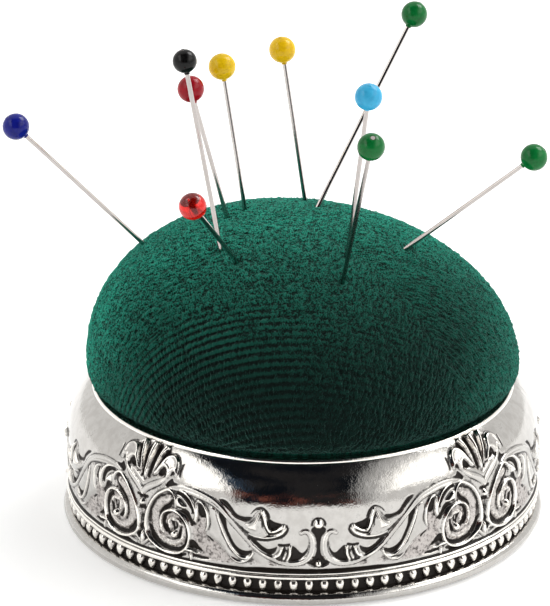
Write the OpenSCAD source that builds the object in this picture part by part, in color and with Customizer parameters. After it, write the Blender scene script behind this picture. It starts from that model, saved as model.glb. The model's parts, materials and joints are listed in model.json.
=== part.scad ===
// Dressmaker's pin cushion: a cast ring base that holds a domed velvet cushion,
// with ten ball-headed pins that slide in and out along their own axes.
// Millimetres. +Z is up. The origin is the centre of the face it rests on.
// The base and cushion are bodies of revolution about Z. Azimuth is counted from -Y, the front.

/* [Base casting] */
// Diameter over the flange at the foot
base_d = 70; // [66:0.5:74]
// Height of the casting's mouth above the resting face
base_h = 20.7; // [20.2:0.1:21.2]
// Diameter over the plain wall that carries the relief
wall_d = 68.4; // [67.8:0.2:69]
// Diameter over the rolled lip at the mouth
lip_d = 60.4; // [60:0.1:61]
// Inner diameter of the mouth
mouth_d = 58.6; // [58:0.1:59]
// Thickness of the casting's wall
wall_t = 2; // [1.6:0.1:2.1]
// Height at which the wall turns into the rounded shoulder
shoulder_z = 13; // [12.6:0.1:13.4]
// Height of the rounded flange
flange_h = 1.8; // [1.4:0.1:2]
// Depth of the channel that the row of beads lies in
channel_depth = 0.6; // [0.3:0.1:0.8]
// Top of the bead channel
channel_z = 4.1; // [3.8:0.1:4.3]
// Radius of each of the two fine mouldings above the channel
moulding_r = 0.35; // [0.25:0.05:0.45]

/* [Cushion] */
// Diameter at the widest part of the dome
dome_d = 62.6; // [62:0.1:63]
// Height of the widest part
dome_z = 23.4; // [23.2:0.1:24]
// Rise of the crown above the widest part
dome_rise = 21.6; // [21:0.1:22]
// Squareness of the dome's outline, 2 being an ellipse
dome_power = 2.1; // [2:0.05:2.2]
// Thickness of the velvet with its pile
velvet_t = 1; // [0.8:0.1:1.2]
// Diameter of the opening that the gathering thread closes under the cushion
gather_d = 24; // [16:1:30]
// Diameter of the gathering thread
thread_d = 0.5; // [0.3:0.1:0.6]
// Thickness of the card disc inside the cushion
board_t = 1.6; // [1.2:0.1:2]

/* [Underside] */
// Thickness of the plate that closes the casting
plate_t = 0.8; // [0.6:0.1:1]
// Thickness of the felt pad
felt_t = 1.2; // [1:0.1:1.4]
// How far the felt stands below the casting
felt_proud = 0.2; // [0.1:0.1:0.3]

/* [Pins] */
// Length of a pin from the top of its head to its point
pin_len = 38; // [37:0.5:39]
// Diameter of a pin's wire
pin_d = 0.65; // [0.6:0.01:0.65]
// Length of the ground point
point_len = 3; // [2:0.5:4]
// Radial play of a pin in the channel it has made in the cushion
pin_play = 0.05; // [0.04:0.01:0.06]
// Space left between a ball head and the velvet when the pin is pushed home
head_gap = 1.9; // [1.8:0.1:2.2]

/* [Hidden] */
// One row a pin: name, colour, head diameter, where it enters the velvet, centre of its head
PINS = [
    ["blue", "mediumblue", 3.84, [-23.2, 5, 39.4], [-41, 1.9, 58.4]],
    ["black", "black", 3.4, [-11.8, -8.1, 43.7], [-16.7, -6.3, 71.1]],
    ["crimson", "crimson", 3.84, [-11, 2.5, 44.5], [-16, 0.7, 64.5]],
    ["lemon", "gold", 3.84, [-8.4, 5.5, 44.6], [-11.6, 4.9, 66.4]],
    ["ruby", "red", 3.84, [-9.5, -11.7, 43.2], [-15.4, -24.1, 56.1]],
    ["amber", "gold", 3.84, [0.3, 12.8, 43.3], [-3, 12.6, 66.3]],
    ["emerald", "forestgreen", 3.84, [2.3, 8.1, 44.1], [16.2, 20.6, 69]],
    ["turquoise", "deepskyblue", 3.84, [6.2, -9.7, 43.1], [8.9, -15.9, 69.2]],
    ["jade", "forestgreen", 3.84, [5.5, -15.4, 41.6], [9, -30.3, 67.1]],
    ["green", "green", 3.84, [14.8, -2.4, 41.5], [32.6, -4.8, 56.2]]
];

$fn = 96;
base_r = base_d / 2;
wall_r = wall_d / 2;
lip_r = lip_d / 2;
mouth_r = mouth_d / 2;
inner_r = wall_r - wall_t;
// The shoulder is one arc, upright where it leaves the wall, that ends at the lip
shoulder_rise = base_h - 0.2 - shoulder_z;
shoulder_in = wall_r - lip_r;
shoulder_r = (shoulder_in * shoulder_in + shoulder_rise * shoulder_rise) / (2 * shoulder_in);
arc_x = wall_r - shoulder_r;
// The casting stands on its flange, just clear of the resting face
foot_z = felt_proud;
flange_r = flange_h / 2;
flange_top = foot_z + flange_h;
// The plate is seated on a step inside the foot
plate_z = felt_t;
seat_z = plate_z + plate_t;
seat_r = base_r - 2;
seat_play = 0.1;
// The cushion's bag: dome outside, neck in the mouth, wider body inside the casting
bag_play = 0.5;
bag_r = inner_r - bag_play;
bag_arc_r = shoulder_r - wall_t - bag_play;
neck_r = mouth_r - 0.3;
neck_z = base_h + 0.25;
dome_r = dome_d / 2;
dome_steps = 20;
hem_steps = 8;
hem_r = dome_r - neck_r;
fill_play = 0.05;
board_z = seat_z + velvet_t;
board_r = bag_r - velvet_t - 0.3;
pin_r = pin_d / 2;
tip_r = 0.05;
collar_r = 0.5;
collar_len = 0.35;
collar_root_r = 1.15;
collar_root = 0.45;

function unit(v) = v / norm(v);
// Direction of a pin, from the cushion out to its head
function pin_axis(p) = unit(p[4] - p[3]);
function head_r(p) = p[2] / 2;
// Length of a pin from its point to the centre of its head
function shank(p) = pin_len - head_r(p);
// How far a pin can be pushed in before its head meets the velvet
function push_in(p) = norm(p[4] - p[3]) - head_r(p) - head_gap;
// Points of the dome's outline, from the widest part up to the crown, drawn in by inset
function dome_points(inset) = [
    for (i = [0 : dome_steps])
        let (a = 90 * i / dome_steps, e = 2 / dome_power)
            [(dome_r - inset) * pow(cos(a), e), dome_z + (dome_rise - inset) * pow(sin(a), e)]
];
// Points of the fold under the widest part, from the neck out to the widest part
function hem_points(inset) = [
    for (i = [0 : hem_steps - 1])
        let (a = 90 * i / hem_steps)
            [neck_r - inset + hem_r * sin(a), dome_z - (dome_z - neck_z - inset) * cos(a)]
];

// Turns +Z to the direction v
module along(v) {
    rotate([0, acos(v[2] / norm(v)), atan2(v[1], v[0])]) children();
}

// Half section of the cushion's bag, drawn in by inset all round
module bag_section(inset) {
    polygon(concat([[0, neck_z + inset]], hem_points(inset), dome_points(inset)));
    translate([0, shoulder_z])
        square([neck_r - inset, neck_z + inset + 0.5 - shoulder_z]);
    translate([0, seat_z + inset])
        square([bag_r - inset, shoulder_z - seat_z - inset]);
    intersection() {
        translate([arc_x, shoulder_z]) circle(r = bag_arc_r - inset);
        translate([0, shoulder_z]) square([bag_r, bag_arc_r]);
    }
}

// Half section of the casting's outside
module casting_outside() {
    translate([0, foot_z]) square([base_r - flange_r, flange_h]);
    translate([base_r - flange_r, foot_z + flange_r]) circle(r = flange_r);
    translate([0, flange_top]) square([wall_r - channel_depth, channel_z - flange_top]);
    translate([0, channel_z]) square([wall_r, shoulder_z - channel_z]);
    for (i = [0, 1])
        translate([wall_r, channel_z + moulding_r * (1 + 2.2 * i)]) circle(r = moulding_r);
    intersection() {
        translate([arc_x, shoulder_z]) circle(r = shoulder_r);
        translate([0, shoulder_z]) square([wall_r, shoulder_rise]);
    }
    // Rolled lip
    translate([mouth_r, shoulder_z]) square([lip_r - mouth_r - 0.2, base_h - shoulder_z]);
}

// Half section of the casting's inside
module casting_inside() {
    square([seat_r, seat_z]);
    translate([0, foot_z]) square([inner_r, shoulder_z - foot_z]);
    intersection() {
        translate([arc_x, shoulder_z]) circle(r = shoulder_r - wall_t);
        translate([0, shoulder_z]) square([inner_r, shoulder_r]);
    }
    translate([0, shoulder_z]) square([mouth_r, base_h]);
}

// Channels that the pins slide in, down to where each point reaches
module pin_channels() {
    spare = 0.5;
    for (p = PINS)
        translate(p[4] - pin_axis(p) * (shank(p) + push_in(p) + spare))
            along(pin_axis(p))
                cylinder(r = pin_r + pin_play, h = shank(p) + push_in(p));
}

module base_ring() {
    color("silver")
        rotate_extrude()
            difference() {
                casting_outside();
                casting_inside();
            }
}

module base_plate() {
    color("gray")
        translate([0, 0, plate_z]) cylinder(r = seat_r - seat_play, h = plate_t);
}

module felt_pad() {
    color("darkslategray")
        cylinder(r = seat_r - 0.5, h = felt_t);
}

module cushion_board() {
    color("tan")
        translate([0, 0, board_z]) cylinder(r = board_r, h = board_t);
}

module stuffing() {
    color("ivory")
        difference() {
            rotate_extrude() bag_section(velvet_t + fill_play);
            cylinder(r = base_r, h = board_z + board_t + fill_play);
            pin_channels();
        }
}

module velvet_cover() {
    color("darkgreen")
        difference() {
            rotate_extrude()
                difference() {
                    bag_section(0);
                    bag_section(velvet_t);
                }
            cylinder(d = gather_d, h = board_z);
            pin_channels();
        }
}

module gathering_thread() {
    color("darkgreen")
        translate([0, 0, seat_z + velvet_t / 2])
            rotate_extrude()
                translate([(gather_d - thread_d) / 2, 0]) circle(d = thread_d);
}

// Wire of one pin, with a ground point, running right through its head
module pin_shaft(p) {
    color("lightgray")
        translate(p[4])
            along(pin_axis(p)) {
                translate([0, 0, point_len - shank(p)]) cylinder(r = pin_r, h = pin_len - point_len);
                translate([0, 0, -shank(p)]) cylinder(r1 = tip_r, r2 = pin_r, h = point_len);
            }
}

// Ball head of one pin, with the short collar where the glass runs down the wire
module pin_head(p) {
    color(p[1])
        translate(p[4])
            along(pin_axis(p))
                difference() {
                    union() {
                        sphere(r = head_r(p));
                        translate([0, 0, -head_r(p) - collar_len])
                            cylinder(r1 = collar_r, r2 = collar_root_r, h = collar_len + collar_root);
                    }
                    translate([0, 0, -pin_len / 2]) cylinder(r = pin_r, h = pin_len);
                }
}

base_ring();
base_plate();
felt_pad();
cushion_board();
stuffing();
velvet_cover();
gathering_thread();
for (p = PINS) {
    pin_shaft(p);
    pin_head(p);
}
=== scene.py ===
"""Pin cushion: the looks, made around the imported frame. Metres, +Z up, -Y is the front."""
import json
import math

import bpy
import numpy as np
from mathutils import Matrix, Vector


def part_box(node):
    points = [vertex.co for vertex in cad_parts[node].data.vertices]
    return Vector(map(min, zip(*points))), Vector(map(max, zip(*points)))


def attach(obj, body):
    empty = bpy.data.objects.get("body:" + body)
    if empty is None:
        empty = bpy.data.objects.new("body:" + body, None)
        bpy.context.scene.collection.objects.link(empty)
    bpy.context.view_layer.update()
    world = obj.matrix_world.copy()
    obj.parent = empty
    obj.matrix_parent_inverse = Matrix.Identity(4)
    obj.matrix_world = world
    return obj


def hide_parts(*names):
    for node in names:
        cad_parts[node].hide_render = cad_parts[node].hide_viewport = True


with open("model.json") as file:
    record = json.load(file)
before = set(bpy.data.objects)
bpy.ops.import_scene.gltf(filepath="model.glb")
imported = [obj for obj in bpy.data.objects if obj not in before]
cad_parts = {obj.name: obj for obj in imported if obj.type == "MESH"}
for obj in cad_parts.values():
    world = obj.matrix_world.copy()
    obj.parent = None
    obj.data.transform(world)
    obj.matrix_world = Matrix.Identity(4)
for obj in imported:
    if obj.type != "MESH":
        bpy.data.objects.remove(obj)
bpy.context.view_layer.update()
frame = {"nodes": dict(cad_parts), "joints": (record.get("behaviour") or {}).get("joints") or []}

MM = 0.001

# ------------------------------------------------- sizes in millimetres, worked out from the frame
ring_lo, ring_hi = (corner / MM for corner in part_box("base_ring"))
bag_lo, bag_hi = (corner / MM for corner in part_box("velvet_cover"))
FOOT_R = ring_hi.x                      # outside of the flange
FOOT_Z = ring_lo.z                      # underside of the flange
LIP_Z = ring_hi.z                       # top of the rolled lip
WALL_R = FOOT_R - 0.8                   # plain wall under the relief
LIP_R = FOOT_R - 4.8                    # where the shoulder ends at the lip
MOUTH_R = FOOT_R - 5.7                  # inside of the lip
WALL_T = 2.0                            # thickness of the casting
SHOULDER_Z = 13.0                       # where the wall turns into the shoulder
FLANGE_R = 0.9                          # roundness of the flange
FLANGE_Z = FOOT_Z + 2 * FLANGE_R        # top of the flange
CHANNEL_R = WALL_R - 0.6                # floor of the channel that the beads lie in
CHANNEL_Z = 4.1                         # top of that channel
SHOULDER_RISE = LIP_Z - 0.2 - SHOULDER_Z
SHOULDER_IN = WALL_R - LIP_R            # how far the shoulder comes in over its rise
SHOULDER_R = (SHOULDER_IN ** 2 + SHOULDER_RISE ** 2) / (2 * SHOULDER_IN)
SHOULDER_X = WALL_R - SHOULDER_R        # centre of the shoulder's arc
# Distance up the wall, along its outside, at which the shoulder meets the lip
WALL_END = SHOULDER_Z + SHOULDER_R * math.asin(SHOULDER_RISE / SHOULDER_R)

BAG_R = bag_hi.x                        # the cushion's widest part, inside the casting
BAG_Z = bag_lo.z                        # underside of the cushion
CROWN_Z = bag_hi.z                      # top of the dome
BELT_R = CROWN_Z - 13.66                # radius of the dome at its widest, the belt
BELT_Z = LIP_Z + 2.69                   # height of the belt
NECK_R = MOUTH_R - 0.3                  # the cushion's neck, in the mouth of the casting
NECK_Z = LIP_Z + 0.5
VELVET_T = 1.0                          # thickness of the velvet with its pile
GATHER_R = 12.0                         # opening that the gathering thread closes


def smooth(t):
    """0 to 1 with level ends."""
    t = np.clip(t, 0, 1)
    return t * t * (3 - 2 * t)


# ------------------------------------------------------------------------------ camera, floor, light
VIEW_TILT = math.radians(21.92)         # the camera looks down by this much
VIEW_FAR = 0.7                          # its distance, in metres
VIEW_AT = Vector((-4.05, 0, 32.04)) * MM
FOCAL = 288.2                           # focal length on the usual 36 mm sensor


def add_camera():
    """The photograph's angle and framing."""
    data = bpy.data.cameras.new("camera")
    data.lens = FOCAL
    data.clip_start, data.clip_end = 0.05, 20
    camera = bpy.data.objects.new("camera", data)
    bpy.context.scene.collection.objects.link(camera)
    back = Vector((0, -math.cos(VIEW_TILT), math.sin(VIEW_TILT)))
    camera.location = VIEW_AT + back * VIEW_FAR
    camera.rotation_euler = (-back).to_track_quat("-Z", "Y").to_euler()
    bpy.context.scene.camera = camera


def add_softbox(place, aim, width, power):
    """A square lamp, in metres and watts."""
    data = bpy.data.lights.new("key", "AREA")
    data.size = width
    data.energy = power
    light = bpy.data.objects.new("key", data)
    bpy.context.scene.collection.objects.link(light)
    light.location = place
    light.rotation_euler = (Vector(aim) - Vector(place)).to_track_quat("-Z", "Y").to_euler()


class Nodes:
    """A node tree, and short ways to add nodes to it."""

    def __init__(self, tree):
        self.tree = tree

    def add(self, kind, inputs=None, **settings):
        node = self.tree.nodes.new("ShaderNode" + kind)
        for key, value in settings.items():
            setattr(node, key, value)
        for key, value in (inputs or {}).items():
            self.feed(node.inputs[key], value)
        return node

    def feed(self, socket, value):
        if isinstance(value, bpy.types.NodeSocket):
            self.tree.links.new(value, socket)
        elif socket.type == "RGBA" and len(value) == 3:
            socket.default_value = (*value, 1)
        else:
            socket.default_value = value

    def maths(self, operation, a, b=0.0, c=0.0, clamp=False):
        node = self.add("Math", {0: a, 1: b, 2: c}, operation=operation, use_clamp=clamp)
        return node.outputs[0]

    def product(self, first, *others):
        for other in others:
            first = self.maths("MULTIPLY", first, other)
        return first

    def sway(self, value, amount):
        """value from 0 to 1, as a number from -amount / 2 to amount / 2."""
        return self.product(self.maths("SUBTRACT", value, 0.5), amount)

    def span(self, value, low, high, to_low=0.0, to_high=1.0):
        """value from low to high, as a number from to_low to to_high with smooth ends."""
        inputs = {"Value": value, "From Min": low, "From Max": high, "To Min": to_low, "To Max": to_high}
        return self.add("MapRange", inputs, interpolation_type="SMOOTHSTEP").outputs["Result"]

    def noise(self, vector, size, detail=2.0, rough=0.5, distort=0.0):
        """Noise with features of about this size, in the units of vector."""
        inputs = {"Vector": vector, "Scale": 1 / size, "Detail": detail, "Roughness": rough,
                  "Distortion": distort}
        return self.add("TexNoise", inputs).outputs[0]

    def mix(self, share, a, b):
        node = self.add("Mix", data_type="RGBA")
        for key, value in (("Factor_Float", share), ("A_Color", a), ("B_Color", b)):
            self.feed(next(s for s in node.inputs if s.identifier == key), value)
        return next(s for s in node.outputs if s.identifier == "Result_Color")

    def stretch(self, vector, sizes):
        """vector with each axis divided by a size."""
        shares = [1 / size for size in sizes]
        return self.add("VectorMath", {0: vector, 1: shares}, operation="MULTIPLY").outputs[0]


class Surface(Nodes):
    """A Principled material, with object coordinates in millimetres."""

    def __init__(self, name, **plain):
        self.material = bpy.data.materials.new(name)
        self.material.use_nodes = True
        super().__init__(self.material.node_tree)
        self.shader = self.tree.nodes["Principled BSDF"]
        for key, value in plain.items():
            self.set(key.replace("_", " "), value)
        here = self.add("TexCoord").outputs["Object"]
        self.here = self.stretch(here, (MM, MM, MM))

    def set(self, key, value):
        self.feed(self.shader.inputs[key], value)

    def attribute(self, name, output="Fac"):
        return self.add("Attribute", attribute_name=name).outputs[output]

    def bump(self, height, depth, under=None):
        """Bump of a height from 0 to 1 that stands for depth millimetres."""
        inputs = {"Height": height, "Distance": depth * MM, "Strength": 1.0}
        if under is not None:
            inputs["Normal"] = under
        out = self.add("Bump", inputs).outputs[0]
        self.set("Normal", out)
        return out


def light_the_stage():
    """A pale studio with a dim room in front, where the photographer stands, between two bright windows."""
    world = bpy.data.worlds.new("studio")
    bpy.context.scene.world = world
    world.use_nodes = True
    n = Nodes(world.node_tree)
    background = world.node_tree.nodes["Background"]
    way = n.add("TexCoord").outputs["Generated"]
    x, y, z = n.add("SeparateXYZ", {0: way}).outputs
    ragged = n.sway(n.noise(way, 0.12, 3), 0.1)
    x, z = n.maths("ADD", x, ragged), n.maths("ADD", z, ragged)
    # How far a direction is inside the room's left and right edges
    left = n.maths("ADD", x, 0.55)
    right = n.maths("SUBTRACT", n.maths("MULTIPLY_ADD", z, -0.08, 0.43), x)
    front = n.product(n.span(z, 0.045, 0.07), n.span(y, 0.12, 0.02))
    past_left = n.span(left, -0.02, 0.03)
    dim = n.product(front, past_left, n.span(right, -0.03, 0.02))
    room = n.mix(n.span(n.noise(way, 0.4, 2), 0.45, 0.6), (0.008, 0.01, 0.014), (0.028, 0.027, 0.028))
    warm = n.product(n.span(z, 0.42, 0.3), n.span(n.noise(way, 0.14, 2), 0.52, 0.6))
    room = n.mix(warm, room, (0.3, 0.1, 0.07))
    cold = n.product(n.span(left, 0.2, 0.05), n.span(n.noise(way, 0.2, 2), 0.5, 0.6))
    room = n.mix(cold, room, (0.05, 0.09, 0.15))
    sky = n.mix(n.span(z, -0.1, 0.9), (1.12, 1.11, 1.09), (0.95, 0.945, 0.93))
    left_window = n.product(n.span(left, -0.34, -0.2), n.span(left, 0.0, -0.04))
    right_window = n.product(n.span(right, -0.15, -0.3), n.span(right, -0.62, -0.5))
    windows = n.maths("MAXIMUM", left_window, right_window)
    window = n.product(windows, n.span(z, 0.26, 0.34), n.span(y, 0.15, 0.05))
    sky = n.mix(window, sky, (2.6, 2.58, 2.5))
    half_lit = n.product(front, n.span(right, -0.2, -0.02), past_left, 0.8)
    sky = n.mix(half_lit, sky, (0.34, 0.34, 0.34))
    n.feed(background.inputs["Color"], n.mix(dim, sky, room))
    n.feed(background.inputs["Strength"], 1.0)
    add_softbox((0.5, 0.35, 0.75), (0, 0, 0.02), 0.45, 4.5)


def add_floor():
    """A sheet of white paper, which glows a little so that its shadows stay pale."""
    half = 4.0
    mesh = bpy.data.meshes.new("floor")
    corners = [(-half, -half, 0), (half, -half, 0), (half, half, 0), (-half, half, 0)]
    mesh.from_pydata(corners, [], [(0, 1, 2, 3)])
    floor = bpy.data.objects.new("floor", mesh)
    bpy.context.scene.collection.objects.link(floor)
    paper = Surface("paper", Roughness=0.9, Emission_Color=(1, 1, 1), Emission_Strength=0.34)
    tone = paper.noise(paper.here, 60, 2)
    paper.set("Base Color", paper.mix(tone, (0.93, 0.93, 0.93), (0.96, 0.96, 0.96)))
    mesh.materials.append(paper.material)


# ------------------------------------------------------------------------------ mesh helpers
def make_mesh(name, points, faces, values=None):
    """A smooth mesh of points in millimetres. faces is a list of arrays, each with one row a face."""
    mesh = bpy.data.meshes.new(name)
    points = np.asarray(points, np.float32).reshape(-1, 3) * MM
    loops = np.concatenate([f.ravel() for f in faces])
    sizes = np.concatenate([np.full(len(f), f.shape[1]) for f in faces])
    mesh.vertices.add(len(points))
    mesh.vertices.foreach_set("co", points.ravel())
    mesh.loops.add(len(loops))
    mesh.loops.foreach_set("vertex_index", loops.astype(np.int32))
    mesh.polygons.add(len(sizes))
    mesh.polygons.foreach_set("loop_start", (np.cumsum(sizes) - sizes).astype(np.int32))
    mesh.update(calc_edges=True)
    mesh.validate()
    for key, value in (values or {}).items():
        value = np.asarray(value, np.float32)
        kind, field = ("FLOAT_VECTOR", "vector") if value.ndim == 2 else ("FLOAT", "value")
        mesh.attributes.new(key, kind, "POINT").data.foreach_set(field, value.ravel())
    mesh.shade_smooth()
    return mesh


def add_piece(name, mesh, material, stands_for, body="root"):
    """One visible piece that rides on a body and stands for CAD nodes."""
    piece = bpy.data.objects.new(name, mesh)
    bpy.context.scene.collection.objects.link(piece)
    mesh.materials.append(material)
    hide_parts(*stands_for)
    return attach(piece, body)


def ring_quads(rows, cols, first=0, closed=False):
    """Quads between closed rings of points that are counted row by row."""
    i = np.arange(rows if closed else rows - 1)[:, None]
    j = np.arange(cols)[None, :]
    up, on = (i + 1) % rows, (j + 1) % cols
    return first + np.stack([i * cols + j, i * cols + on, up * cols + on, up * cols + j], -1).reshape(-1, 4)


def arc(x, z, radius, start, end, steps):
    """Points on an arc, angles in degrees from +X."""
    a = np.radians(np.linspace(start, end, steps + 1))
    return np.stack([x + radius * np.cos(a), z + radius * np.sin(a)], -1)


def line(start, end, steps):
    """Points on a straight line."""
    return np.linspace(start, end, steps + 1)


def polar(r, azimuth, z):
    """Points about the Z axis. Azimuth 0 is the front, and it grows to +X."""
    return np.stack(np.broadcast_arrays(r * np.sin(azimuth), -r * np.cos(azimuth), z), -1)


def turned(profile, azimuths):
    """A profile of (radius, z) rows turned about Z."""
    return polar(profile[:, 0][:, None], azimuths, profile[:, 1][:, None])


def joined(*parts):
    """Stretches of a profile end to end, each without its last point."""
    return np.concatenate([part[:-1] for part in parts])


def end_caps(rows, cols):
    """The two faces that close a tube of ring_quads."""
    ring = np.arange(cols)[None, :]
    return [ring[:, ::-1], (rows - 1) * cols + ring]


def circle_angles(count):
    """Angles evenly round a circle, from 0."""
    return np.arange(count) * 2 * math.pi / count


def soften(field, reach):
    """A Gaussian blur with mirrored edges. reach is its sigma, in cells."""
    n = int(3 * reach) + 1
    weights = np.exp(-0.5 * (np.arange(-n, n + 1) / reach) ** 2)
    weights /= weights.sum()
    for axis in (0, 1):
        pad = [(n, n) if k == axis else (0, 0) for k in (0, 1)]
        wide = np.pad(field, pad, mode="reflect")
        cells = field.shape[axis]
        field = sum(w * wide.take(range(k, k + cells), axis) for k, w in enumerate(weights))
    return field


def sample(field, row, col):
    """A raster read between its cells."""
    row = np.clip(row, 0, field.shape[0] - 1.001)
    col = np.clip(col, 0, field.shape[1] - 1.001)
    i, j = row.astype(int), col.astype(int)
    a, b = row - i, col - j
    if field.ndim == 3:
        a, b = a[..., None], b[..., None]
    low = field[i, j] * (1 - b) + field[i, j + 1] * b
    high = field[i + 1, j] * (1 - b) + field[i + 1, j + 1] * b
    return low * (1 - a) + high * a


# ------------------------------------------------------------------------------ the cast relief
CELL = 27.1                             # half a repeat of the ornament, along the wall
REPEATS = 4
TURN = math.radians(3.4)                # azimuth of the middle motif
STEP = 0.05                             # spacing of the relief's raster
LOW, HIGH = 4.5, 22.5                   # the relief's raster, by distance up the wall
GROUND = -0.3                           # level that raised parts rise from
LIP_ROWS = 9                            # rows of the wall's mesh on the rubbed outside of the lip
CLEAN = 0.65                            # how much of the rough ground a raised part takes away
SHADE_REACH = 0.35                       # how far round a raised part its painted shadow is worked out
DEEPEST = 3.0                           # depth inside an outline from which nothing changes


def curve(points, closed=False):
    """A smooth line through the given points."""
    step = 0.12
    p = np.array(points, float)
    ends = (p[-1:], p[:2]) if closed else (2 * p[:1] - p[1:2], 2 * p[-1:] - p[-2:-1])
    p = np.concatenate([ends[0], p, ends[1]])
    made = []
    for a, b, c, d in zip(p[:-3], p[1:-2], p[2:-1], p[3:]):
        count = max(1, int(math.dist(b, c) / step))
        t = (np.arange(count) / count)[:, None]
        made.append(0.5 * (2 * b + (c - a) * t + (2 * a - 5 * b + 4 * c - d) * t ** 2
                           + (3 * b - a - 3 * c + d) * t ** 3))
    return np.concatenate([*made, p[-2:-1]])


class Relief:
    """Half a repeat of the ornament: its height in millimetres, and its shares of rough ground and of
    black, which is patina and in places painted shadow.
    x runs from the middle motif to the palmette's axis, and y up the wall."""

    def __init__(self):
        self.x = np.arange(0, CELL + STEP / 2, STEP)
        self.y = np.arange(LOW, HIGH, STEP)
        self.height = np.zeros((len(self.y), len(self.x)))
        self.ground = np.zeros_like(self.height)
        self.patina_and_shadow = np.zeros_like(self.height)

    def block(self, low, high):
        """The raster's rows and columns between two corners."""
        cols = slice(*np.searchsorted(self.x, (low[0], high[0])))
        rows = slice(*np.searchsorted(self.y, (low[1], high[1])))
        return rows, cols

    def trace(self, path, reach):
        """Each cell's distance to a path, up to reach, and its place along it from 0 to 1."""
        away = np.full(self.height.shape, np.inf)
        along = np.zeros(self.height.shape)
        lengths = np.hypot(*np.diff(path, axis=0).T)
        gone = np.concatenate([[0], np.cumsum(lengths)])
        for k in np.flatnonzero(lengths > 1e-9):
            a, b = path[k], path[k + 1]
            rows, cols = self.block(np.minimum(a, b) - reach, np.maximum(a, b) + reach)
            x, y = self.x[cols][None, :] - a[0], self.y[rows][:, None] - a[1]
            d = b - a
            t = np.clip((x * d[0] + y * d[1]) / (d @ d), 0, 1)
            gap = np.hypot(x - t * d[0], y - t * d[1])
            near = gap < away[rows, cols]
            away[rows, cols][near] = gap[near]
            along[rows, cols][near] = (gone[k] + t * lengths[k])[near] / gone[-1]
        return away, along

    def follow(self, points, half, margin):
        """Each cell's distance to a line, and the line's half width at the nearest place on it."""
        half = np.atleast_1d(np.array(half, float))
        away, along = self.trace(curve(points), half.max() + margin)
        return away, np.interp(along, np.linspace(0, 1, len(half)), half)

    def inside(self, path):
        """The cells that a closed path goes round."""
        found = np.zeros(self.height.shape, bool)
        x, y = self.x[None, :], self.y[:, None]
        for a, b in zip(path, np.roll(path, -1, 0)):
            if a[1] != b[1]:
                spans = (a[1] > y) != (b[1] > y)
                found ^= spans & (x < (b[0] - a[0]) * (y - a[1]) / (b[1] - a[1]) + a[0])
        return found

    def lift(self, share, rise, clean=CLEAN):
        """Raises the surface to rise where share is 1, and leaves it where share is 0. clean is how much of
        the rough ground goes with it."""
        raised = np.maximum(self.height, GROUND + (rise - GROUND) * share)
        self.height = np.where(share > 0, raised, self.height)
        clear = 1 - smooth(2 * share)
        self.patina_and_shadow *= clear
        self.ground *= 1 - clean * (1 - clear)

    def rope(self, points, half, rise, dip=0.0, foot_shade=0.75, clean=CLEAN):
        """A raised line, round on top, or with a channel along it. half is its half width at places
        spaced evenly along it."""
        away, width = self.follow(points, half, SHADE_REACH)
        self.shadow(away - width, foot_shade)
        q = np.minimum(away / width, 1)
        self.lift(np.sqrt(1 - q ** 2) * (1 - dip * np.exp(-(q / 0.5) ** 2)), rise, clean)

    def shadow(self, gap, foot_shade):
        """Painted shadow, in black, along the foot of a raised part. gap is the distance from its edge."""
        self.patina_and_shadow = np.maximum(self.patina_and_shadow, foot_shade * smooth(1 - gap / 0.2) * (gap > 0))

    def edge_share(self, outline, edge):
        """A shape that is 0 outside and rises to 1 over its edge, and each cell's depth inside it."""
        path = curve(outline, closed=True)
        away, _ = self.trace(path, DEEPEST)
        away = np.where(self.inside(path), np.minimum(away, DEEPEST), 0)
        return smooth(away / edge), away

    def leaf(self, outline, rise, edge=0.5, dish=0.0, foot_shade=0.6, clean=CLEAN):
        """A raised shape with rounded edges, and hollow in the middle by dish."""
        share, away = self.edge_share(outline, edge)
        gap, _ = self.trace(curve(outline, closed=True), SHADE_REACH)
        self.shadow(np.where(away > 0, 0, gap), foot_shade)
        self.lift(share * (1 - dish * smooth((away - edge) / edge)), rise, clean)

    def pit(self, outline, depth=0.3, edge=0.25, ground=0.5, patina_and_shadow=1.0):
        """A sunk pocket, or a ground, with its share of roughness and of black: patina, and in places
        painted shadow.
        """
        share, _ = self.edge_share(outline, edge)
        self.height -= depth * share
        self.ground = np.maximum(self.ground, ground * share)
        self.patina_and_shadow = np.maximum(self.patina_and_shadow, patina_and_shadow * share)

    def cut(self, points, half, depth=0.25, patina_and_shadow=1.0):
        """A groove in whatever is there."""
        away, width = self.follow(points, half, STEP)
        share = smooth(1.4 * (1 - away / width))
        self.height -= depth * share
        self.patina_and_shadow = np.maximum(self.patina_and_shadow, patina_and_shadow * share)

    def ball(self, x, y, radius, rise):
        """A raised round boss."""
        gap = np.hypot(self.x[None, :] - x, self.y[:, None] - y) / radius
        self.lift(np.sqrt(np.clip(1 - gap ** 2, 0, 1)), rise)


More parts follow.
